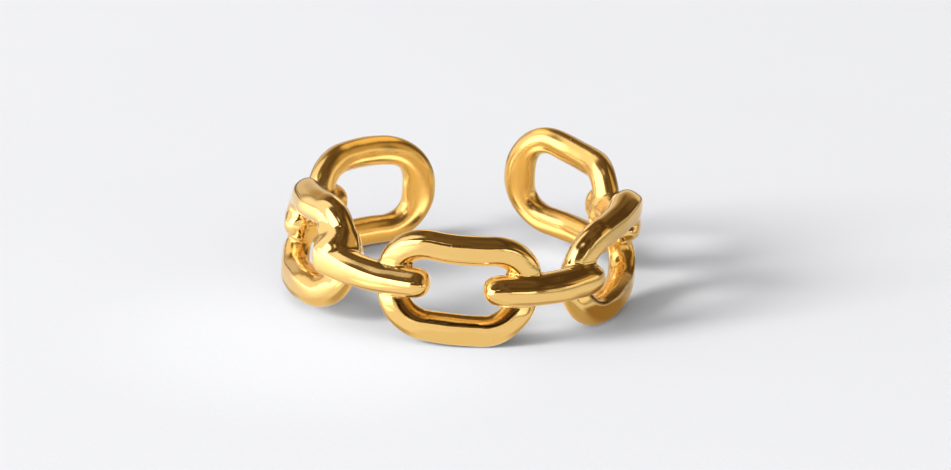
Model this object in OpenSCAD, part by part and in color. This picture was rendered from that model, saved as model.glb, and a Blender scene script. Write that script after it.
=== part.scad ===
// Open ring made like a piece of chain: broad oval links lie flat along the finger's circle,
// narrow bars join each to the next and end in rounded knobs inside their windows.
// The ring is one casting, so links and bars are one solid. It stops short of a full turn,
// and the two end links face each other across a gap that lets the ring be eased wider.
// Frame: origin on the surface that the ring lies on, in line with the finger hole's centre.
// +Z is up along the finger, the front link faces -Y, and +X is to its right. Millimetres.

/* [Finger hole] */
// Diameter of the finger hole, inside the links
finger_bore = 17.3; // [15:0.1:21]
// Clear width between the two end links, measured along the middle of the wire
end_gap = 4; // [2:0.1:6]

/* [Oval links] */
// Length of an oval link over its outside, along the finger's circle
link_length = 9.4; // [8:0.1:10.5]
// Height of an oval link over its outside, which is the width of the band
link_height = 6.4; // [5.8:0.1:8]
// Radius of an oval link's outer corners
link_corner = 3.1; // [2.4:0.1:3.2]
// Width of the wire, seen from the front
wire_width = 1.65; // [1.4:0.05:2.1]
// Width of the wire at the ring's two free ends, seen from the front
end_width = 1.9; // [1.4:0.05:2.1]
// Thickness of the wire, from the finger outwards
wire_thickness = 1.4; // [1.1:0.05:1.9]

/* [Connecting bars] */
// Height of a bar, seen from the front
bar_height = 1.6; // [1.2:0.05:2.1]
// Thickness of a bar, from the finger outwards
bar_thickness = 2; // [1.6:0.05:2.6]
// How far a bar's knob reaches into a link's window past the end wire
knob_reach = 1; // [0.6:0.05:1.2]
// Length of the rounding at a knob's end
knob_round = 0.85; // [0.5:0.05:1.1]

/* [Hidden] */

// One row for each oval link, from the back left round the front to the back right.
// STEP is its place in links from the front one, and TILT its lean in degrees.
// LIFT is how far it hangs above the surface, as a share of the link's height.
// OUT is how far it is sprung outwards, and SPLAY how far its foot stands out past its
// middle, as shares of the wire's thickness.
// FREE is the side on which it ends the ring: -1 on its left, 1 on its right, 0 for neither.
LINKS = [
    [-2.02, 1.8, 0.00, 0.10, 0.00, -1],
    [-0.97, 2.4, 0.09, 0.05, 0.20, 0],
    [0.00, -4.1, 0.00, -0.15, 0.00, 0],
    [0.98, 6.5, 0.00, 0.08, -0.08, 0],
    [1.97, 5.5, 0.11, -0.10, 0.00, 1]
];
STEP = 0;
TILT = 1;
LIFT = 2;
OUT = 3;
SPLAY = 4;
FREE = 5;

// One row for each bar, from the back left round to the back right.
// RISE_A and RISE_B lift its two ends off its links' middles, as shares of the bar's height.
// REACH_A and REACH_B are how far its two knobs reach, as shares of the knob's reach.
// PROUD is how far its middle lies outside the wire's, as a share of the bar's thickness.
BARS = [
    [0.05, 0.22, 0.95, 0.90, -0.05],
    [0.13, 0.10, 0.55, 1.40, 0.33],
    [0.31, 0.36, 1.65, 0.20, 0.33],
    [0.27, 0.11, 0.95, 0.95, -0.05]
];
RISE_A = 0;
RISE_B = 1;
REACH_A = 2;
REACH_B = 3;
PROUD = 4;

// The wire is a squared round: 2 would be an ellipse, and more is squarer.
WIRE_POWER = 2.5;
BAR_POWER = 3;
SECTION_SIDES = 12;
CORNER_STEPS = 6;
LONG_SIDE_STEPS = 4;
BAR_STEPS = 8;
KNOB_STEPS = 4;
// A knob is blunter than a round: this power of a circle's fall-off gives its outline.
KNOB_POWER = 0.7;
// The rounding stops at this share of the circle, so a knob ends in a small flat
KNOB_TIP = 0.3;

// Half sizes of the line that runs down the middle of an oval link's wire
half_long = (link_length - wire_width) / 2;
half_high = (link_height - wire_width) / 2;
corner = min(link_corner - wire_width / 2, half_high - 0.05);

// The wire's middle runs on this circle about the finger
band_radius = (finger_bore + wire_thickness) / 2;
degrees_per_mm = 180 / (PI * band_radius);
links_span = LINKS[len(LINKS) - 1][STEP] - LINKS[0][STEP];
ends_span = link_length + end_width - wire_width + end_gap;
pitch = (360 - ends_span * degrees_per_mm) / links_span;

// A vector with its length kept and its direction's sign, raised to a power
function signed_pow(v, power) = sign(v) * pow(abs(v), power);

// Closed section of a wire or bar: [across, outwards] for each side
function section(wide, thick, power) = [
    for (i = [0:SECTION_SIDES - 1])
        let (turn = i * 360 / SECTION_SIDES)
        [
            wide / 2 * signed_pow(cos(turn), 2 / power),
            thick / 2 * signed_pow(sin(turn), 2 / power)
        ]
];

// Points of an oval link's middle line: [along, up, direction that points out of the oval]
function corner_points(x, y, from) = [
    for (i = [0:CORNER_STEPS])
        let (turn = from + i * 90 / CORNER_STEPS)
        [x + corner * cos(turn), y + corner * sin(turn), turn]
];
function side_points(y, from, to, turn) = [
    for (i = [1:LONG_SIDE_STEPS - 1])
        [from + (to - from) * i / LONG_SIDE_STEPS, y, turn]
];
function oval_line() =
    let (x = half_long - corner, y = half_high - corner)
    concat(
        corner_points(x, y, 0),
        side_points(half_high, x, -x, 90),
        corner_points(-x, y, 90),
        corner_points(-x, -y, 180),
        side_points(-half_high, -x, x, 270),
        corner_points(x, -y, 270)
    );

// Place of a link's middle: distance along the circle, height and outward shift
function link_along(row) = row[STEP] * pitch / degrees_per_mm;
function link_middle(row) =
    (half_high - corner) * cos(row[TILT])
    + (half_long - corner) * abs(sin(row[TILT]))
    + corner + wire_width / 2 + row[LIFT] * link_height;
function link_out(row, up) = (row[OUT] - row[SPLAY] * up / half_high) * wire_thickness;

// Width of a link's wire, as a share of its usual width: it grows towards a free end
function wire_growth(row, turn) =
    1 + (end_width / wire_width - 1) * pow(max(0, row[FREE] * cos(turn)), 2);

// Bends a point [along, up, outwards] round the finger
function bend(p) =
    let (turn = p[0] * degrees_per_mm, r = band_radius + p[2])
    [r * sin(turn), -r * cos(turn), p[1]];

// Skin over a list of rings with the same number of points, closed into a loop or capped
module skin(rings, loop) {
    sides = len(rings[0]);
    last = len(rings) - (loop ? 1 : 2);
    walls = [
        for (i = [0:last], j = [0:sides - 1])
            let (
                k = (i + 1) % len(rings),
                n = (j + 1) % sides,
                a = i * sides + j,
                b = i * sides + n,
                c = k * sides + n,
                d = k * sides + j
            )
            each [[a, b, c], [a, c, d]]
    ];
    caps = loop ? [] : [
        [for (j = [sides - 1:-1:0]) j],
        [for (j = [0:sides - 1]) (len(rings) - 1) * sides + j]
    ];
    polyhedron(
        points = [for (ring = rings) each ring],
        faces = concat(walls, caps)
    );
}

// An oval link, curved along the finger's circle
module oval_link(row) {
    wire = section(wire_width, wire_thickness, WIRE_POWER);
    lean = row[TILT];
    rings = [
        for (p = oval_line())
            [
                for (q = wire)
                    let (
                        across = q[0] * wire_growth(row, p[2]),
                        x = p[0] + across * cos(p[2]),
                        y = p[1] + across * sin(p[2])
                    )
                    bend([
                        link_along(row) + x * cos(lean) - y * sin(lean),
                        link_middle(row) + x * sin(lean) + y * cos(lean),
                        link_out(row, y) + q[1]
                    ])
            ]
    ];
    skin(rings, true);
}

// Place of a bar's end: SIDE is 1 at a link's right end and -1 at its left end
function bar_end(link, side, rise, reach, proud) = [
    link_along(link) + side * (half_long * cos(link[TILT]) - wire_width / 2 - reach * knob_reach),
    link_middle(link) + side * half_long * sin(link[TILT]) + rise * bar_height,
    proud * bar_thickness
];

// Outline of a knob, from its tip: [distance from the tip, share of the bar's full section]
function knob_outline() = [
    for (i = [0:KNOB_STEPS - 1])
        let (turn = acos(KNOB_TIP) * (1 - i / KNOB_STEPS))
        [knob_round * (1 - sin(turn) / sin(acos(KNOB_TIP))), pow(cos(turn), KNOB_POWER)]
];

// A bar from one link's right end to the next link's left end, with a knob in each window
module connecting_bar(left, right, row) {
    from = bar_end(left, 1, row[RISE_A], row[REACH_A], row[PROUD]);
    to = bar_end(right, -1, row[RISE_B], row[REACH_B], row[PROUD]);
    length = to[0] - from[0];
    knob = knob_outline();
    shaft = [
        for (i = [0:BAR_STEPS])
            [knob_round + (length - 2 * knob_round) * i / BAR_STEPS, 1]
    ];
    far_knob = [for (i = [KNOB_STEPS - 1:-1:0]) [length - knob[i][0], knob[i][1]]];
    rings = [
        for (place = concat(knob, shaft, far_knob))
            [
                for (q = section(bar_height, bar_thickness, BAR_POWER))
                    bend(from + (to - from) * place[0] / length + [0, -q[0], q[1]] * place[1])
            ]
    ];
    skin(rings, false);
}

// The whole casting
module chain_band() {
    color("goldenrod") {
        for (row = LINKS) oval_link(row);
        for (i = [0:len(BARS) - 1]) connecting_bar(LINKS[i], LINKS[i + 1], BARS[i]);
    }
}

chain_band();
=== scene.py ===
"""Looks of an open finger ring made like a piece of chain: the casting, its gold, table and light."""

import math
from collections import namedtuple

import bpy
import numpy as np
from mathutils import Matrix, Vector


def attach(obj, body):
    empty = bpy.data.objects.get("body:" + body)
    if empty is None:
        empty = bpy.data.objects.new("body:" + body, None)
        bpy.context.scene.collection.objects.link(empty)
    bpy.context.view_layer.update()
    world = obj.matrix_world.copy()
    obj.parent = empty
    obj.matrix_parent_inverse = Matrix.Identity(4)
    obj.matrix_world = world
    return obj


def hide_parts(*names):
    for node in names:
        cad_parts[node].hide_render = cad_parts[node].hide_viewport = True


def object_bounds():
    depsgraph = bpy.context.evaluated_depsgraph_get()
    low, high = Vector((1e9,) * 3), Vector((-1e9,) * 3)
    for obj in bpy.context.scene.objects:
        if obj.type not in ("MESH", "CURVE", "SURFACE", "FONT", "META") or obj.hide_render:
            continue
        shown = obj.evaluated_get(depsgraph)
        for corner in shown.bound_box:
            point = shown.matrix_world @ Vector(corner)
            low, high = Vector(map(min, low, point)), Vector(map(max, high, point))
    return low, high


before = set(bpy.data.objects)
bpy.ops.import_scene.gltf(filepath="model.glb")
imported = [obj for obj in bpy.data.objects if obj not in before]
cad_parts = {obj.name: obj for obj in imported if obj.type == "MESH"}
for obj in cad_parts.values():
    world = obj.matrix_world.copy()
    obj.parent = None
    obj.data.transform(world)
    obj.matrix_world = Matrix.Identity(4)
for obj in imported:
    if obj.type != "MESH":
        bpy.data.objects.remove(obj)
cad_low, cad_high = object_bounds()

# The oval links: five broad ovals of squared brass wire that stand round the finger's circle.
# They are part of the ring's one casting, modelled in wax and lightly finished by hand, so each
# leans, lifts and springs a little in its own way. Sizes are in millimetres.
FINGER_BORE = 17.3
END_GAP = 4.0
LINK_LENGTH = 9.4
LINK_HEIGHT = 6.4
LINK_CORNER = 3.1
WIRE_WIDTH = 1.65
WIRE_THICKNESS = 1.4
# The wire's width at the ring's two free ends, and how much of the circle is kept for its swelling
END_WIDTH = 2.02
END_SWELLING = 0.25
# The wire is a round of this width, with a flat outer face and two bevels beside it. The flats lie
# at these distances from its middle, and a bevel is turned this far to the side.
WIRE_ROUND = 1.74
WIRE_FACE = 0.70
WIRE_BEVEL = 0.79
BEVEL_TURN = math.radians(35)
# How far the ridges between face and bevels, and the shoulders beside the bevels, are rounded
RIDGE = 0.14
SHOULDER = 0.25
# The face is filed a little convex, to this radius, and is wavy by this much
FACE_ROUND = 5.0
FACE_WAVE = 0.024
# The waves that a hand-held file leaves: how fast each runs along and up in radians to the
# millimetre, how far its start shifts from piece to piece, and its height
FILE_WAVES = [
    (1.7, 0.8, 1.0, 0.6),
    (3.1, -1.3, 2.6, 0.4),
]
# A link's end wires dive towards the finger by this much where a bar lies over them, over this
# height and this length
DIVE = 0.45
DIVE_HIGH = 0.85
DIVE_LONG = 1.4
# At a free end the wire is thinner by this share towards the window's corners, which squares them
WINDOW_SQUARE = 0.25
# A wire that is squarer towards the window has its bevel there this much farther out
SQUARE_BEVEL = 0.12
# A rolled wire is fully turned at this height from the link's middle
ROLL_HEIGHT = 0.8
# Place in steps between links, lean in degrees, lift and spring outwards as shares of the link's
# height and the wire's thickness, splay of the foot, the side on which it ends the ring, roll of the
# wire in degrees, how square the wire is towards the window, and how worn its ridges are
Link = namedtuple("Link", "step lean lift spring splay free_side roll square worn")
LINKS = [
    Link(-2.008, 1.8, 0.00, 0.10, 0.00, -1, 0, 0.0, 2.5),
    Link(-0.97, 2.4, 0.09, 0.05, 0.20, 0, 0, 1.0, 2.5),
    Link(0.00, -4.1, 0.00, 0.06, 0.00, 0, 2, 0.0, 1.0),
    Link(0.98, 6.5, 0.00, 0.08, -0.08, 0, 0, 1.0, 1.0),
    Link(1.945, 5.5, 0.11, -0.10, 0.00, 1, 0, 0.0, 2.5),
]
# Places where hand work moved or swelled the wire: link, place along and up from the link's middle,
# reach, push along, push up, and swelling
Push = namedtuple("Push", "link along up reach by_along by_up swelling")
PUSHES = [
    Push(0, 0.0, 2.4, 2.4, 0.00, 0.22, 0.06),
    Push(1, -0.6, 2.2, 2.2, 0.00, -0.12, 0.08),
    Push(1, 0.6, -2.4, 2.4, 0.00, 0.00, 0.06),
    Push(1, 3.3, 1.4, 1.5, -0.20, 0.00, 0.00),
    Push(2, 0.0, 2.4, 2.4, 0.00, -0.12, 0.00),
    Push(2, 3.4, 1.6, 1.5, 0.20, 0.10, 0.02),
    Push(2, 3.7, 0.9, 0.9, 0.00, -0.05, 0.12),
    Push(2, -3.7, 0.9, 0.9, 0.00, 0.00, 0.10),
    Push(2, 3.2, -1.8, 1.4, -0.12, 0.05, 0.00),
    Push(2, -3.3, 1.7, 1.4, -0.12, 0.12, 0.00),
    Push(2, -3.3, -1.7, 1.4, -0.04, 0.00, 0.00),
    Push(3, 2.4, 2.2, 1.8, 0.00, 0.08, 0.14),
    Push(4, -2.0, -2.0, 1.8, 0.00, 0.16, 0.00),
    Push(4, 3.9, 0.0, 2.4, 0.10, 0.00, 0.00),
    Push(4, 3.0, 2.0, 1.9, 0.14, 0.22, -0.02),
    Push(4, -3.4, 1.6, 1.8, 0.38, -0.10, 0.00),
]
# Places where a bevel was filed deeper, or less where that is negative: link, side (-1 towards the
# window, 1 outside), place along and up, reach, how much deeper, and how much squarer the wire is
Cut = namedtuple("Cut", "link side along up reach deeper squarer")
CUTS = [
    Cut(1, 1, 3.0, 1.9, 1.3, -0.16, 0.4),
    Cut(1, 1, 0.0, -2.4, 3.5, -0.20, 0.7),
    Cut(2, -1, -2.9, -1.6, 1.0, 0.12, 0.0),
    Cut(2, -1, 3.0, -1.3, 0.8, 0.08, 0.0),
    Cut(2, 1, 0.0, -2.4, 3.5, -0.25, 1.0),
    Cut(3, 1, 0.0, -2.4, 3.0, -0.15, 0.5),
]

BAND_RADIUS = (FINGER_BORE + WIRE_THICKNESS) / 2
HALF_LONG = (LINK_LENGTH - WIRE_WIDTH) / 2
HALF_HIGH = (LINK_HEIGHT - WIRE_WIDTH) / 2
CORNER = LINK_CORNER - WIRE_WIDTH / 2
# The two end links and the gap take up this much of the circle, and this many steps share the rest
ENDS_SPAN = LINK_LENGTH + END_SWELLING + END_GAP
STEPS = 3.99
PITCH = (2 * math.pi * BAND_RADIUS - ENDS_SPAN) / STEPS
# A length this small stands in for none where something is divided by it
HAIR = 1e-9


def link_place(link):
    """A link's middle: its distance along the circle, and the height that puts its foot at its lift."""
    lean = math.radians(link.lean)
    reach = (HALF_HIGH - CORNER) * math.cos(lean) + (HALF_LONG - CORNER) * abs(math.sin(lean))
    return link.step * PITCH, reach + CORNER + WIRE_WIDTH / 2 + link.lift * LINK_HEIGHT


def unbend(points):
    """Rolls the ring out flat: distance along the circle, height, distance outwards from the circle."""
    x, y, z = points.T
    return np.arctan2(x, -y) * BAND_RADIUS, z, np.hypot(x, y) - BAND_RADIUS


def bell(along, up, spot):
    """1 at a spot, fading round it: e to the power of minus the square of the distance in reaches."""
    return np.exp(-((along - spot.along) ** 2 + (up - spot.up) ** 2) / spot.reach ** 2)


def smooth_max(a, b, width):
    """The greater of two fields, with their meeting rounded: a quarter of the width is added where
    they are equal, and less, by a parabola, where they differ by up to the width."""
    near = np.maximum(width - np.abs(a - b), 0) / width
    return np.maximum(a, b) + near ** 2 * width / 4


def file_wave(along, up, phase):
    """The sum of a few sines of the place, of height one at most."""
    return sum(
        height * np.sin(by_along * along + by_up * up + by_phase * phase)
        for by_along, by_up, by_phase, height in FILE_WAVES
    )


def filed_round(across, out, wide, deep, face, bevel, power, worn=1):
    """How far points lie outside a round section with three flats: the greatest of its oval's
    distance, scaled to millimetres, and the distances to its outer face and its two bevels."""
    oval = (np.abs(2 * across / wide) ** power + np.abs(2 * out / deep) ** power) ** (1 / power)
    oval = (oval - 1) * wide / 2
    side = np.abs(across) * math.cos(BEVEL_TURN) + out * math.sin(BEVEL_TURN) - bevel
    front = out + across ** 2 / (2 * FACE_ROUND) - face
    return smooth_max(smooth_max(oval, side, SHOULDER), front, RIDGE * worn)


def on_link(link, along, up):
    """Places on a link, from its middle: turned back upright by its lean, and moved back by each
    push as far as the bell round the push says. The bells add up to the wire's swelling too."""
    middle, height = link_place(link)
    lean = math.radians(link.lean)
    x = (along - middle) * math.cos(lean) + (up - height) * math.sin(lean)
    y = (up - height) * math.cos(lean) - (along - middle) * math.sin(lean)
    swelling = 0
    for push in PUSHES:
        if LINKS[push.link] is link:
            share = bell(x, y, push)
            x, y = x - share * push.by_along, y - share * push.by_up
            swelling = swelling + share * push.swelling
    return x, y, swelling


def across_wire(link, x, y):
    """The place across a link's wire, and the wire's width there. The place is the distance to a
    rectangle with rounded corners. The width grows with the square of how far the wire runs
    towards a free end, and shrinks inside the window's corners there."""
    past_x = np.abs(x) - (HALF_LONG - CORNER)
    past_y = np.abs(y) - (HALF_HIGH - CORNER)
    round_x, round_y = np.maximum(past_x, 0), np.maximum(past_y, 0)
    around = np.hypot(round_x, round_y)
    across = around + np.minimum(np.maximum(past_x, past_y), 0) - CORNER
    towards_end = np.sign(x) * link.free_side * round_x / np.maximum(around, HAIR)
    wide = WIRE_WIDTH * (1 + (END_WIDTH / WIRE_WIDTH - 1) * np.maximum(towards_end, 0) ** 2)
    diagonal = 2 * round_x * round_y / np.maximum(around, HAIR) ** 2
    in_window = np.where((across < 0) & (towards_end > 0), 1, 0)
    wide = wide * (1 - WINDOW_SQUARE * diagonal ** 2 * in_window)
    return across, wide * WIRE_ROUND / WIRE_WIDTH


def out_of_wire(link, x, y, out):
    """The place outwards from the middle of a link's wire: the wire springs out by the link's share
    of its thickness, its foot splays, and its ends dive by a bell where bars lie over them."""
    barred = np.where(x * link.free_side > 0, 0, 1)
    dive = DIVE * barred * np.exp(-(y / DIVE_HIGH) ** 2 - ((np.abs(x) - HALF_LONG) / DIVE_LONG) ** 2)
    return out + dive - WIRE_THICKNESS * (link.spring - link.splay * y / HALF_HIGH)


def link_field(link, along, up, out):
    """How far points lie outside a link's wire, with their places across it and along the link: the
    filed round's distance less the swelling. Its section is turned by the wire's roll, so that its
    outer face looks up a little, and is squarer towards the window and where it was filed so."""
    x, y, swelling = on_link(link, along, up)
    across, wide = across_wire(link, x, y)
    outwards = out_of_wire(link, x, y, out) + FACE_WAVE * file_wave(along, up, link.step * PITCH)
    roll = math.radians(link.roll) * y / np.maximum(np.abs(y), ROLL_HEIGHT)
    turned = across * np.cos(roll) - outwards * np.sin(roll)
    outwards = outwards * np.cos(roll) + across * np.sin(roll)
    bevel = WIRE_BEVEL + SQUARE_BEVEL * link.square * (across < 0)
    power = 2 + link.square * (across < 0)
    for cut in CUTS:
        if LINKS[cut.link] is link:
            share = bell(x, y, cut) * (cut.side * across > 0)
            bevel = bevel - cut.deeper * share
            power = power + cut.squarer * share
    wire = filed_round(turned, outwards, wide, WIRE_ROUND, WIRE_FACE, bevel, power, link.worn)
    return wire - swelling, across, x


# The connecting bars: four narrow squared bars of the same casting, one from each link to the next.
# They lie over the links' end wires and end in blunt knobs inside the windows.
BAR_HEIGHT = 1.6
BAR_THICKNESS = 2.0
# A bar is an oval this deep with the same three flats, at these distances from its middle
BAR_DEPTH = 2.2
BAR_FACE = 1.0
BAR_BEVEL = 0.85
# Its lower side is squarer than its upper one
BAR_SQUARE = 0.7
# How far a knob reaches into a window, how long its rounding is, and the power of its outline
KNOB_REACH = 1.0
KNOB_ROUND = 0.85
KNOB_POWER = 0.7
# A bar's left end, its right end, how proud of the wire it stands, how tall it is in the middle and
# how far it sags there. An end holds its rise, the reach of its knob, how tall it is, how blunt its
# knob is and how much wider its face is
BarEnd = namedtuple("BarEnd", "rise reach tall blunt wider")
Bar = namedtuple("Bar", "left right proud tall sag")
BARS = [
    Bar(BarEnd(0.12, 1.15, 1.20, 1.0, 0.00), BarEnd(0.17, 0.90, 1.25, 1.0, 0.00), -0.05, 1.00, 0.00),
    Bar(BarEnd(0.17, 0.50, 1.40, 0.9, 0.40), BarEnd(0.07, 1.55, 1.12, 1.0, -0.06), 0.33, 0.95, 0.24),
    Bar(BarEnd(0.25, 1.70, 1.20, 1.5, -0.02), BarEnd(0.31, 0.40, 1.28, 1.9, 0.16), 0.33, 0.98, 0.17),
    Bar(BarEnd(0.27, 0.95, 1.00, 1.0, 0.00), BarEnd(0.27, 1.20, 1.35, 1.0, 0.00), -0.05, 1.00, 0.00),
]


def bar_end(link, side, end):
    """Place of a bar's end along the circle and in height, on a link's right side (1) or left (-1)."""
    middle, height = link_place(link)
    lean = math.radians(link.lean)
    along = middle + side * (HALF_LONG * math.cos(lean) - WIRE_WIDTH / 2 - end.reach * KNOB_REACH)
    return along, height + side * HALF_LONG * math.sin(lean) + end.rise * BAR_HEIGHT


def bar_field(left, right, bar, along, up, out):
    """How far points lie outside a bar: a squared round about a line that slopes and sags, whose
    radius is joined with the distance into the knob, so that the section shrinks to nothing over
    the knob's length. Its ends' own heights and faces fade with the square of the way from them."""
    from_along, from_up = bar_end(left, 1, bar.left)
    to_along, to_up = bar_end(right, -1, bar.right)
    share = np.clip((along - from_along) / (to_along - from_along), 0, 1)
    near_left, near_right = (1 - share) ** 2, share ** 2
    tall = bar.tall + (bar.left.tall - bar.tall) * near_left + (bar.right.tall - bar.tall) * near_right
    high = (up - from_up - (to_up - from_up) * share + 4 * bar.sag * share * (1 - share)) / tall
    outwards = out - bar.proud * BAR_THICKNESS + FACE_WAVE * file_wave(along, up, from_along)
    bevel = BAR_BEVEL + bar.left.wider * near_left + bar.right.wider * near_right
    power = 2 + BAR_SQUARE * (high < 0)
    section = filed_round(high, outwards, BAR_HEIGHT, BAR_DEPTH, BAR_FACE, bevel, power)
    radius = np.maximum(section * 2 / BAR_HEIGHT + 1, 0)
    left_knob, right_knob = KNOB_ROUND * bar.left.blunt, KNOB_ROUND * bar.right.blunt
    into_left = (from_along + left_knob - along) / left_knob
    into_right = (along - to_along + right_knob) / right_knob
    into_knob = np.maximum(np.maximum(into_left, into_right), 0)
    blunt = 2 / KNOB_POWER
    return ((radius ** blunt + into_knob ** 2) ** (1 / blunt) - 1) * BAR_HEIGHT / 2


# The casting: links and bars run into one another as one body of gold plated brass, with small soft
# fillets where they cross, so it is one skin over all their fields, drawn on to them point by point.
# The polishing wheel leaves a faint waviness on every face. Dark lines of reflection are painted into
# the lower bevels.
MILLIMETRE = 0.001
FILLET = 0.16
# Joints whose metal ran together softly: place along and up, reach, and how much wider the fillet is
SoftJoint = namedtuple("SoftJoint", "along up reach wider")
SOFT_JOINTS = [
    SoftJoint(-7.2, 5.15, 0.9, 1.3),
    SoftJoint(-8.75, 5.45, 0.55, 0.9),
    SoftJoint(-14.8, 4.7, 1.5, 0.7),
    SoftJoint(14.7, 4.6, 1.2, 0.5),
]
# The wheel's waves: how fast each runs each way in radians to the millimetre, and its start
WHEEL_HEIGHT = 0.012
WHEEL_WAVES = [
    (1.9, 0.7, -0.4, 0.3),
    (-0.8, 1.6, 1.1, 1.9),
    (0.5, -1.2, 2.1, 4.1),
    (2.6, 1.9, 0.9, 2.6),
]
# The skin's cells, how far they may stand past the solids, and how its points settle
CELL = 0.1
MARGIN = 0.3
SLOPE_STEP = 0.01
SETTLING_ROUNDS = 5
LEAST_SLOPE = 0.05
LONGEST_MOVE = 0.1


def casting_field(points):
    """How far points lie outside the casting: the least of all links' and bars' distances, each met
    pair rounded by a quarter of the fillet where they are equal, plus a few slow waves."""
    along, up, out = unbend(points)
    fillet = FILLET
    for joint in SOFT_JOINTS:
        fillet = fillet + joint.wider * bell(along, up, joint)
    total = link_field(LINKS[0], along, up, out)[0]
    for link, after, bar in zip(LINKS, LINKS[1:], BARS):
        for part in (bar_field(link, after, bar, along, up, out), link_field(after, along, up, out)[0]):
            near = np.maximum(fillet - np.abs(total - part), 0) / fillet
            total = np.minimum(total, part) - near ** 2 * fillet / 4
    waves = sum(np.sin(points @ np.array(wave[:3]) + wave[3]) for wave in WHEEL_WAVES)
    return total + WHEEL_HEIGHT * waves / len(WHEEL_WAVES)


def slope_of(points):
    """The field's slope: half the difference of its values a step to either side, over the step."""
    steps = SLOPE_STEP * np.eye(3)
    sides = [casting_field(points + step) - casting_field(points - step) for step in steps]
    return np.stack(sides, axis=1) / (2 * SLOPE_STEP)


def settle(points):
    """Moves points on to the casting's surface by Newton steps along the field's slope."""
    for _ in range(SETTLING_ROUNDS):
        slope = slope_of(points)
        steep = np.maximum((slope ** 2).sum(1), LEAST_SLOPE)
        move = np.clip(casting_field(points) / steep, -LONGEST_MOVE, LONGEST_MOVE)
        points = points - slope * move[:, None]
    return points


def cell_skin(name, low, high):
    """A closed skin of cubes: every cell of a grid that holds metal adds the sides it doesn't share."""
    counts = np.ceil((high - low) / CELL).astype(int) + 1
    ticks = [low[axis] + CELL * np.arange(counts[axis]) for axis in range(3)]
    grid = np.stack(np.meshgrid(*ticks, indexing="ij"), axis=-1)
    full = (casting_field(grid.reshape(-1, 3)) < 0).reshape(counts)
    corner_number = np.arange(np.prod(counts + 1)).reshape(counts + 1)
    square = np.array([(0, 0), (1, 0), (1, 1), (0, 1)])
    faces = []
    for axis in range(3):
        for side in (1, -1):
            corners = np.full((4, 3), max(side, 0))
            corners[:, [(axis + 1) % 3, (axis + 2) % 3]] = square[:, ::side]
            cells = np.argwhere(full & ~np.roll(full, -side, axis=axis))
            numbers = [corner_number[tuple((cells + corner).T)] for corner in corners]
            faces.append(np.stack(numbers, axis=1))
    used, faces = np.unique(np.concatenate(faces), return_inverse=True)
    place = np.stack(np.unravel_index(used, counts + 1), axis=1)
    mesh = bpy.data.meshes.new(name)
    mesh.from_pydata((low + CELL * (place - 0.5)).tolist(), [], faces.reshape(-1, 4).tolist())
    mesh.update()
    return mesh


low = np.array(cad_low) / MILLIMETRE - MARGIN
high = np.array(cad_high) / MILLIMETRE + MARGIN
blocks = bpy.data.objects.new("casting_blocks", cell_skin("casting_blocks", low, high))
bpy.context.collection.objects.link(blocks)
remesh = blocks.modifiers.new("skin", "REMESH")
remesh.mode = "VOXEL"
remesh.voxel_size = CELL
remesh.adaptivity = 0
evaluated = blocks.evaluated_get(bpy.context.evaluated_depsgraph_get())
skin = bpy.data.meshes.new_from_object(evaluated)
bpy.data.objects.remove(blocks)
points = np.empty(len(skin.vertices) * 3)
skin.vertices.foreach_get("co", points)
points = settle(points.reshape(-1, 3))
skin.vertices.foreach_set("co", (points * MILLIMETRE).ravel())
skin.polygons.foreach_set("use_smooth", np.ones(len(skin.polygons), bool))
skin.update()
slopes = slope_of(points)
slopes = slopes / np.linalg.norm(slopes, axis=1, keepdims=True)
skin.normals_split_custom_set_from_vertices(slopes)

# The places of painted reflection and shade on the gold, and of the walls' rougher grain, are kept
# on the skin as three masks. Each pair says where a mask is 0 and where it is 1: how far along a
# link its window's corners lie, how far in from the wire's middle the walls of a window lie, how far
# they may face down, and how close two parts are in a joint between them
WINDOW_CORNERS = (0.0, 3.0)
WALL_IN = (0.30, 0.65)
WALL_FACES_UP = (-0.5, 0.0)
JOINT_CLOSE = (0.45, 0.0)
# Away from a window's corners its walls show this share of their painted orange reflection, roughness
# and grain
WALL_PLAIN = 0.35
# A painted dark line of reflection runs in a lower bevel: how far in from the wire's middle it lies,
# its half width and what the corners add to it, how far it faces up and lies outwards, and its
# highest and its leftmost place
DARK_LINE_IN = 0.50
DARK_LINE_WIDTH = 0.05
DARK_LINE_CORNER_WIDTH = 0.13
DARK_LINE_FACES_UP = (0.15, 0.40)
DARK_LINE_OUT = (0.0, 0.2)
DARK_LINE_HIGHEST = 2.6
DARK_LINE_LEFTMOST = -6
# A point this close to a link's surface is the link's
CLOSE = 0.06


def ramp(values, limits):
    """Goes straight from 0 to 1 between two limits."""
    return np.clip((values - limits[0]) / (limits[1] - limits[0]), 0, 1)


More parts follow.
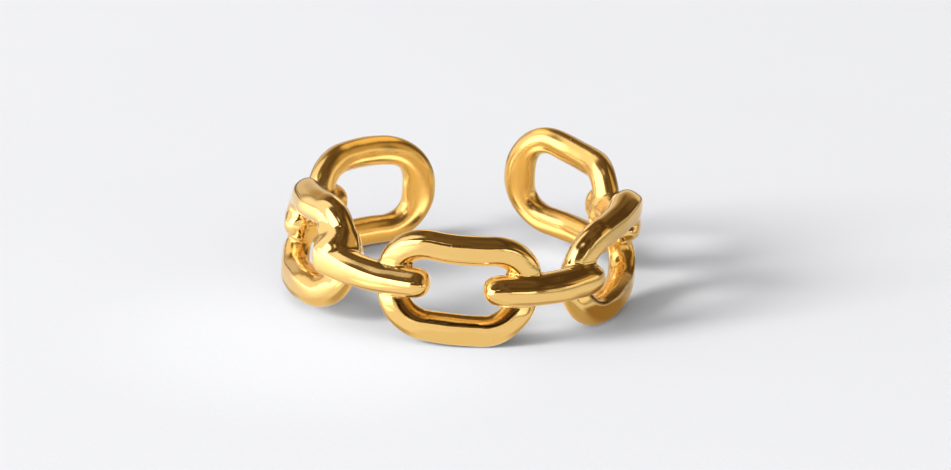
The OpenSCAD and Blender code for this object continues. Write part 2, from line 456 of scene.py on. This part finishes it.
def grain_and_painted_light_masks(points, slopes):
    """Where painted reflection and shade go on the gold: on the walls of the windows, with their grain,
    and in the painted dark lines, by the place across a link's wire, and in joints, where the two
    nearest parts are nearly as near."""
    along, up, out = unbend(points)
    walls, painted_dark_lines = np.zeros(len(points)), np.zeros(len(points))
    fields = []
    for link in LINKS:
        field, across, x = link_field(link, along, up, out)
        corner = ramp(np.abs(x), WINDOW_CORNERS) ** 2
        wall = ramp(-across, WALL_IN) * (WALL_PLAIN + (1 - WALL_PLAIN) * corner)
        painted_dark_line = np.exp(-((across + DARK_LINE_IN) / (DARK_LINE_WIDTH + DARK_LINE_CORNER_WIDTH * corner)) ** 4)
        walls = np.where(field < CLOSE, wall, walls)
        painted_dark_lines = np.where(field < CLOSE, painted_dark_line * ramp(out, DARK_LINE_OUT), painted_dark_lines)
        fields.append(field)
    walls = walls * ramp(slopes[:, 2], WALL_FACES_UP)
    painted_dark_lines = painted_dark_lines * ramp(slopes[:, 2], DARK_LINE_FACES_UP) * (up < DARK_LINE_HIGHEST) * (along > DARK_LINE_LEFTMOST)
    for link, after, bar in zip(LINKS, LINKS[1:], BARS):
        fields.append(bar_field(link, after, bar, along, up, out))
    fields = np.sort(np.array(fields), axis=0)
    return {"walls": walls, "joints": ramp(fields[1] - fields[0], JOINT_CLOSE), "painted_dark_lines": painted_dark_lines}


for name, values in grain_and_painted_light_masks(points, slopes).items():
    skin.attributes.new(name, "FLOAT", "POINT").data.foreach_set("value", values.astype(np.float32))
casting = bpy.data.objects.new("chain_casting", skin)
bpy.context.collection.objects.link(casting)


def add(tree, kind, sockets=None, **settings):
    """A new shader node with its settings, and its inputs set to values or joined to outputs."""
    made = tree.nodes.new(kind)
    for name, value in settings.items():
        setattr(made, name, value)
    for name, value in (sockets or {}).items():
        if isinstance(value, bpy.types.NodeSocket):
            tree.links.new(value, made.inputs[name])
        else:
            made.inputs[name].default_value = value
    return made


def maths(tree, operation, a, b=0.0):
    """A value worked out from two others."""
    return add(tree, "ShaderNodeMath", {0: a, 1: b}, operation=operation).outputs[0]


def eased(tree, value, zero_at, one_at):
    """A value that goes softly from 0 to 1 between two limits."""
    sockets = {"Value": value, "From Min": zero_at, "From Max": one_at}
    return add(tree, "ShaderNodeMapRange", sockets, interpolation_type="SMOOTHSTEP").outputs[0]


def blend(tree, mask, a, b):
    """Colour A where the mask is 0 and colour B where it is 1."""
    sockets = {0: mask}
    for slot, colour in ((6, a), (7, b)):
        sockets[slot] = colour if isinstance(colour, bpy.types.NodeSocket) else (*colour, 1)
    return add(tree, "ShaderNodeMix", sockets, data_type="RGBA").outputs[2]


def new_group(name, inputs, outputs):
    """An empty shader node group with named inputs, each a kind and a value, and named outputs."""
    group = bpy.data.node_groups.new(name, "ShaderNodeTree")
    for title, (kind, value) in inputs.items():
        socket = group.interface.new_socket(title, in_out="INPUT", socket_type=kind)
        if value is not None:
            socket.default_value = value
    for title, kind in outputs.items():
        group.interface.new_socket(title, in_out="OUTPUT", socket_type=kind)
    return group, group.nodes.new("NodeGroupInput"), group.nodes.new("NodeGroupOutput")


# A noise seldom leaves these limits, so its mask runs from one to the other
NOISE_LIMITS = (0.3, 0.7)


def cloudiness_group():
    """Slow, uneven tone from a soft noise, and fine grain from a smaller one, scaled to the metre."""
    inputs = {
        "Vector": ("NodeSocketVector", None),
        "Cloud Scale": ("NodeSocketFloat", 200.0),
        "Grain Scale": ("NodeSocketFloat", 3000.0),
    }
    outputs = {"Cloud": "NodeSocketFloat", "Grain": "NodeSocketFloat"}
    group, given, made = new_group("cloudiness", inputs, outputs)
    for title, detail, scale in (("Cloud", 2.0, "Cloud Scale"), ("Grain", 3.0, "Grain Scale")):
        sockets = {"Vector": given.outputs["Vector"], "Scale": given.outputs[scale], "Detail": detail}
        noise = add(group, "ShaderNodeTexNoise", sockets)
        group.links.new(eased(group, noise.outputs["Fac"], *NOISE_LIMITS), made.inputs[title])
    return group


CLOUDINESS = cloudiness_group()

# The gold is paler in front, and goes over to the deeper gold behind between these places in metres.
# The windows' walls show their painted orange reflection, roughness and grain in front only, and
# lose them between the other two.
GOLD_FRONT = (0.93, 0.595, 0.195)
GOLD_BACK = (0.93, 0.57, 0.16)
BEHIND = (-0.001, 0.006)
WALLS_IN_FRONT = (0.006, -0.004)
# What tints it: the share of the tint, and its colour
GOLD_TINTS = {
    # painted orange reflection of the gold mirrored in itself on the windows' walls
    "walls": (0.85, (0.82, 0.42, 0.06)),
    # painted shade and reflection, darker and oranger, in the crevices where parts meet
    "joints": (0.12, (0.60, 0.36, 0.09)),
    "clouds": (0.10, (0.97, 0.66, 0.27)),
    # a painted dark line of reflection in the lower bevels
    "painted_dark_lines": (0.95, (0.07, 0.028, 0.008)),
}
# Gold mirrored in gold would turn too deep an orange, and would colour the table
GOLD_IN_GOLD = (0.98, 0.80, 0.50)
GOLD_ON_PAPER = (0.2, 0.2, 0.2)
# How rough the plain polish is, and what each mask adds
POLISH = 0.06
ROUGHER = {"behind": 0.17, "walls": 0.16, "joints": 0.05, "clouds": 0.04, "specks": 0.45}
# Specks of dust that the polish left: how many to the metre, and where their edges fade
SPECKS = 1500.0
SPECK_EDGE = (0.085, 0.03)
# Cloudy patches and grains of the polish to the metre
CLOUDS = 260
GRAINS = 5200
# Polishing lines run round the finger: noise that is long round the band and short up it
LINE_STRETCH = (1, 1, 14)
LINES = 500.0
# The insides of the windows keep the grain of the casting
WALL_GRAINS = 2200.0
# How high the lines, the grain and the walls' grain are beside the clouds, and the relief's depth
LINE_RELIEF = 0.3
GRAIN_RELIEF = 0.05
WALL_RELIEF = 2.2
RELIEF_DEPTH = 0.012
gold = bpy.data.materials.new("polished_gold_plate")
gold.use_nodes = True
tree = gold.node_tree
shader = tree.nodes["Principled BSDF"]
coords = add(tree, "ShaderNodeTexCoord").outputs["Object"]
depth = add(tree, "ShaderNodeSeparateXYZ", {0: coords}).outputs["Y"]
sockets = {"Vector": coords, "Cloud Scale": CLOUDS, "Grain Scale": GRAINS}
clouds = add(tree, "ShaderNodeGroup", sockets, node_tree=CLOUDINESS).outputs
specks = add(tree, "ShaderNodeTexVoronoi", {"Vector": coords, "Scale": SPECKS}).outputs["Distance"]
masks = {
    name: add(tree, "ShaderNodeAttribute", attribute_name=name).outputs["Fac"]
    for name in ("walls", "joints", "painted_dark_lines")
}
masks["walls"] = maths(tree, "MULTIPLY", masks["walls"], eased(tree, depth, *WALLS_IN_FRONT))
masks["behind"] = eased(tree, depth, *BEHIND)
masks["clouds"] = clouds["Cloud"]
masks["specks"] = eased(tree, specks, *SPECK_EDGE)
colour = blend(tree, masks["behind"], GOLD_FRONT, GOLD_BACK)
# The walls, joints and dark lines paint reflection and shade into the gold's colour; the clouds are its
# own uneven tone
for name, (share, tint) in GOLD_TINTS.items():
    colour = blend(tree, maths(tree, "MULTIPLY", masks[name], share), colour, tint)
rays = add(tree, "ShaderNodeLightPath").outputs
colour = blend(tree, rays["Is Glossy Ray"], colour, GOLD_IN_GOLD)
colour = blend(tree, rays["Is Diffuse Ray"], colour, GOLD_ON_PAPER)
tree.links.new(colour, shader.inputs["Base Color"])
roughness = POLISH
for name, amount in ROUGHER.items():
    roughness = maths(tree, "ADD", roughness, maths(tree, "MULTIPLY", masks[name], amount))
tree.links.new(roughness, shader.inputs["Roughness"])
shader.inputs["Metallic"].default_value = 1
lines = add(tree, "ShaderNodeMapping", {"Vector": coords, "Scale": LINE_STRETCH}).outputs[0]
lines = add(tree, "ShaderNodeTexNoise", {"Vector": lines, "Scale": LINES, "Detail": 2.0})
grain = add(tree, "ShaderNodeTexNoise", {"Vector": coords, "Scale": WALL_GRAINS, "Detail": 3.0})
grain = maths(tree, "MULTIPLY", grain.outputs["Fac"], masks["walls"])
relief = clouds["Cloud"]
for height, amount in (
    (lines.outputs["Fac"], LINE_RELIEF),
    (clouds["Grain"], GRAIN_RELIEF),
    (grain, WALL_RELIEF),
):
    relief = maths(tree, "ADD", relief, maths(tree, "MULTIPLY", height, amount))
sockets = {"Height": relief, "Strength": 1.0, "Distance": RELIEF_DEPTH * MILLIMETRE}
tree.links.new(add(tree, "ShaderNodeBump", sockets).outputs[0], shader.inputs["Normal"])
skin.materials.append(gold)
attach(casting, "root")
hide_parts("chain_band")

# The table: a plain sheet of pale paper that the ring lies on. The metal sees painted light and
# shade on it: brighter on the left, where a glow is painted on, darker on the right, and with
# painted glints and painted shade inside the ring.
TABLE_REACH = 600
PAPER = (0.87, 0.87, 0.87)
PAPER_DARK = (0.855, 0.855, 0.86)
PAPER_ROUGHNESS = 0.8
PAPER_SHEEN = 0.2
# How uneven the paper's tone is, and how many of its clouds and grains there are to the metre
PAPER_UNEVEN = 0.6
PAPER_CLOUDS = 30
PAPER_GRAINS = 2500
# How much of the grain shows as relief, and how deep it would be in full
PAPER_RELIEF = 0.15
PAPER_DEPTH = 0.02
# A painted pool of light makes the paper brighter on the lamp's side: place across and back, radius and
# softness
PAPER_LIT = (0.93, 0.93, 0.925)
LIT_PLACE = (-8, -10, 10, 6)
# Painted reflections: patches of painted light and shade that glow on the paper for the metal alone,
# in place of its own tone: place across and back, radius and softness in millimetres, and colour
GLINTS = [
    (-60, -20, 47, 4, (1.5, 1.5, 1.6)),
    (-60, -20, 38, 6, (3.0, 3.0, 3.0)),
    (80, -5, 58, 8, (0.42, 0.42, 0.40)),
    (0, 0, 11.3, 0.7, (0.55, 0.47, 0.33)),
    (0, 0, 8.3, 1.2, (0.88, 0.72, 0.45)),
    (0.8, 5.2, 2.9, 0.9, (2.2, 2.2, 2.4)),
    (3.2, 2.3, 1.0, 0.5, (1.3, 1.35, 1.5)),
    (5.7, 2.3, 1.0, 0.6, (0.5, 0.33, 0.08)),
    (11, -4.5, 3.5, 1.5, (0.30, 0.20, 0.08)),
    (-1.0, 7.4, 1.2, 0.5, (0.10, 0.06, 0.02)),
    (0, 165, 135, 5, (0.20, 0.15, 0.09)),
    (-10.5, -14, 2.5, 1.2, (2.0, 2.0, 2.0)),
    (0.3, -11.0, 3.6, 0.8, (0.86, 0.84, 0.78)),
    (-9.3, -5.6, 2.2, 0.8, (0.85, 0.80, 0.68)),
]
# Light that the ring throws on to the paper, painted on as a glow: place, radius and softness, and
# brightness
THROWN = [
    (5.4, -4.6, 2.4, 2.2, 0.32),
    (5.9, 6.4, 2.6, 2.2, 0.22),
    (2.2, 10.9, 1.6, 1.5, 0.15),
    (1.2, 1.8, 1.8, 1.6, 0.12),
    (-6.9, -4.6, 1.4, 1.2, 0.15),
]
BLACK = (0.0, 0.0, 0.0)
WHITE = (1, 1, 1)


def disc(tree, coords, x, y, radius, softness):
    """1 inside a soft round patch of the table and 0 outside it, sizes in millimetres."""
    sockets = {0: coords, 1: (x * MILLIMETRE, y * MILLIMETRE, 0)}
    away = add(tree, "ShaderNodeVectorMath", sockets, operation="DISTANCE").outputs["Value"]
    return eased(tree, away, (radius + softness) * MILLIMETRE, (radius - softness) * MILLIMETRE)


sheet = bpy.data.meshes.new("table_sheet")
edge = TABLE_REACH * MILLIMETRE
corners = [(-edge, -edge, 0), (edge, -edge, 0), (edge, edge, 0), (-edge, edge, 0)]
sheet.from_pydata(corners, [], [(0, 1, 2, 3)])
table = bpy.data.objects.new("table_sheet", sheet)
bpy.context.collection.objects.link(table)
paper = bpy.data.materials.new("pale_table")
paper.use_nodes = True
tree = paper.node_tree
shader = tree.nodes["Principled BSDF"]
coords = add(tree, "ShaderNodeTexCoord").outputs["Object"]
sockets = {"Vector": coords, "Cloud Scale": PAPER_CLOUDS, "Grain Scale": PAPER_GRAINS}
clouds = add(tree, "ShaderNodeGroup", sockets, node_tree=CLOUDINESS).outputs
# Painted reflections: inside a patch the metal sees the paper's tone as black and the patch's colour as
# glow
seen, cover = BLACK, BLACK
for *patch, tint in GLINTS:
    mask = disc(tree, coords, *patch)
    seen = blend(tree, mask, seen, tint)
    cover = blend(tree, mask, cover, WHITE)
mirrored = add(tree, "ShaderNodeLightPath").outputs["Is Glossy Ray"]
tone = blend(tree, maths(tree, "MULTIPLY", clouds["Cloud"], PAPER_UNEVEN), PAPER, PAPER_DARK)
# The painted pool of light on the lamp's side
tone = blend(tree, disc(tree, coords, *LIT_PLACE), tone, PAPER_LIT)
tone = blend(tree, maths(tree, "MULTIPLY", mirrored, cover), tone, BLACK)
tree.links.new(tone, shader.inputs["Base Color"])
# Painted thrown light: a glow on the paper where the ring would throw light
thrown = 0.0
for *patch, brightness in THROWN:
    thrown = maths(tree, "ADD", thrown, maths(tree, "MULTIPLY", disc(tree, coords, *patch), brightness))
thrown = add(tree, "ShaderNodeCombineXYZ", {0: thrown, 1: thrown, 2: thrown}).outputs[0]
tree.links.new(blend(tree, mirrored, thrown, seen), shader.inputs["Emission Color"])
shader.inputs["Emission Strength"].default_value = 1
shader.inputs["Roughness"].default_value = PAPER_ROUGHNESS
shader.inputs["Specular IOR Level"].default_value = PAPER_SHEEN
sockets = {"Height": clouds["Grain"], "Strength": PAPER_RELIEF, "Distance": PAPER_DEPTH * MILLIMETRE}
tree.links.new(add(tree, "ShaderNodeBump", sockets).outputs[0], shader.inputs["Normal"])
sheet.materials.append(paper)

# The camera: a long lens, low in front, turned a little to the side and rolled a little. The point at
# its aim's height over the ring's middle lies so far right of the picture's middle, and above it.
AZIMUTH = math.radians(0.5)
ELEVATION = math.radians(18.7)
ROLL = math.radians(1.9)
DISTANCE = 293.8
PIXELS_PER_MM = 17.36
PHOTO_WIDTH = 951
SENSOR = 36
AIM_RIGHT = -0.79
AIM_UP = 0.015
AIM_HEIGHT = 3.33
back = Vector((math.sin(AZIMUTH), -math.cos(AZIMUTH), 0)) * math.cos(ELEVATION)
back = back + Vector((0, 0, math.sin(ELEVATION)))
level = Vector((math.cos(AZIMUTH), math.sin(AZIMUTH), 0))
upright = back.cross(level)
right = math.cos(ROLL) * level + math.sin(ROLL) * upright
above = math.cos(ROLL) * upright - math.sin(ROLL) * level
place = (back * DISTANCE - right * AIM_RIGHT - above * AIM_UP + Vector((0, 0, AIM_HEIGHT))) * MILLIMETRE
lens = bpy.data.cameras.new("camera")
lens.sensor_width = SENSOR
lens.lens = SENSOR * PIXELS_PER_MM * DISTANCE / PHOTO_WIDTH
lens.clip_start = 0.01
camera = bpy.data.objects.new("camera", lens)
camera.matrix_world = Matrix.Translation(place) @ Matrix((right, above, back)).transposed().to_4x4()
bpy.context.collection.objects.link(camera)
bpy.context.scene.camera = camera

# The room that the metal mirrors: dark and warm, with panels of cloth and paper round it, a bright
# bank of windows on the left, and paler cloth in front, behind and on the right.
ROOM_COLOUR = (0.085, 0.057, 0.030)
ROOM_LIGHT = (0.165, 0.118, 0.07)
ROOM_SCALE = 3.5
ROOM_NOISE = (0.35, 0.65)
# A panel's two sides, from straight behind towards the right, in degrees, and their softness; its
# bottom and top as shares of the way up, -2 for below the floor, and their softness; its colour
PANELS = [
    (-180, 180, 0, -2, 0.06, 0.06, (0.85, 0.85, 0.85)),
    (-44, 34, 6, -2, 0.61, 0.12, (0.46, 0.36, 0.23)),
    (-44, 40, 6, -2, 0.38, 0.10, (0.75, 0.72, 0.70)),
    (76, 106, 5, 0.03, 0.72, 0.06, (0.62, 0.48, 0.25)),
    (76, 121, 5, 0.03, 0.30, 0.05, (1.05, 1.05, 1.0)),
    (124, 180, 5, -2, 0.30, 0.05, (0.33, 0.27, 0.18)),
    (150, 180, 6, -2, 0.30, 0.05, (0.95, 0.91, 0.82)),
    (134, 147, 3, 0.06, 0.34, 0.03, (1.6, 1.65, 1.8)),
    (-180, -140, 2, -2, 0.29, 0.05, (0.96, 0.94, 0.88)),
    (-75, 75, 5, -2, 0.03, 0.02, (0.15, 0.11, 0.07)),
    (-98, -50, 8, -2, 0.85, 0.06, (1.15, 1.18, 1.30)),
    (-90, -50, 5, 0.5, 0.95, 0.05, (1.15, 1.18, 1.30)),
    (-150, -95, 3, -2, 0.66, 0.06, (2.8, 2.9, 3.5)),
    (-175, -152, 4, 0.76, 0.84, 0.02, (1.05, 1.06, 1.0)),
]
# The paper is lit by the same room as a plain dome, brighter towards the front left: its colour,
# how it leans, and the least share of it that comes from any side
DOME = (0.545, 0.545, 0.556)
DOME_LEAN = (-0.9, -1.56, 0)
DOME_LEAST = 0.1
world = bpy.data.worlds.new("studio")
world.use_nodes = True
bpy.context.scene.world = world
tree = world.node_tree
coords = add(tree, "ShaderNodeTexCoord").outputs["Generated"]
way = add(tree, "ShaderNodeSeparateXYZ", {0: coords}).outputs
around = maths(tree, "ARCTAN2", way["X"], way["Y"])
uneven = add(tree, "ShaderNodeTexNoise", {"Vector": coords, "Scale": ROOM_SCALE, "Detail": 1.0})
colour = blend(tree, eased(tree, uneven.outputs["Fac"], *ROOM_NOISE), ROOM_COLOUR, ROOM_LIGHT)
for side_a, side_b, softness, bottom, top, blur, tint in PANELS:
    side_a, side_b, softness = math.radians(side_a), math.radians(side_b), math.radians(softness)
    above_bottom = eased(tree, way["Z"], bottom - blur, bottom + blur)
    below_top = eased(tree, way["Z"], top + blur, top - blur)
    mask = maths(tree, "MULTIPLY", above_bottom, below_top)
    if side_a > -math.pi:
        mask = maths(tree, "MULTIPLY", mask, eased(tree, around, side_a - softness, side_a + softness))
    if side_b < math.pi:
        mask = maths(tree, "MULTIPLY", mask, eased(tree, around, side_b + softness, side_b - softness))
    colour = blend(tree, mask, colour, tint)
lean = add(tree, "ShaderNodeVectorMath", {0: coords, 1: DOME_LEAN}, operation="DOT_PRODUCT")
lean = maths(tree, "MAXIMUM", maths(tree, "ADD", lean.outputs["Value"], 1.0), DOME_LEAST)
dome = add(tree, "ShaderNodeVectorMath", {0: DOME, "Scale": lean}, operation="SCALE").outputs[0]
lights_paper = add(tree, "ShaderNodeLightPath").outputs["Is Diffuse Ray"]
background = tree.nodes["Background"]
tree.links.new(blend(tree, lights_paper, colour, dome), background.inputs["Color"])
background.inputs["Strength"].default_value = 1
bpy.context.scene.view_settings.view_transform = "Standard"

# The lamps: a soft disk, low on the left, throws the shadows on the paper, and the metal doesn't
# mirror it. A small warm card hangs close over the ring's back, and the metal alone sees it.
# The disk stands so far round from the left to the front, so high, and so many metres away.
KEY_AROUND = math.radians(28)
KEY_HEIGHT = math.radians(25)
KEY_AWAY = 1.5
KEY_SIZE = 0.6
KEY_POWER = 23
CARD_PLACE = Vector((-1.4, 13.3, 15.0)) * MILLIMETRE
CARD_AIM = Vector((-5, 8, 6)) * MILLIMETRE
CARD_SIZE = 8 * MILLIMETRE
CARD_BRIGHTNESS = 1.0
CARD_COLOUR = (0.95, 0.77, 0.40)


def disk_lamp(name, place, aim, size, power, colour=WHITE):
    """A round area lamp at a place that shines towards another: its axis is the way between them."""
    lamp = bpy.data.lights.new(name, "AREA")
    lamp.shape = "DISK"
    lamp.size = size
    lamp.energy = power
    lamp.color = colour
    made = bpy.data.objects.new(name, lamp)
    made.location = place
    made.rotation_euler = (place - aim).to_track_quat("Z", "Y").to_euler()
    bpy.context.collection.objects.link(made)
    return made


to_key = Vector((-math.cos(KEY_AROUND), -math.sin(KEY_AROUND), 0)) * math.cos(KEY_HEIGHT)
to_key = to_key + Vector((0, 0, math.sin(KEY_HEIGHT)))
key = disk_lamp("key", to_key * KEY_AWAY, Vector((0, 0, 0)), KEY_SIZE, KEY_POWER)
key.visible_glossy = False
# A disk's power is pi times its brightness times its surface
card_power = CARD_BRIGHTNESS * (math.pi * CARD_SIZE / 2) ** 2
card = disk_lamp("card", CARD_PLACE, CARD_AIM, CARD_SIZE, card_power, CARD_COLOUR)
card.visible_camera = False
card.visible_diffuse = False
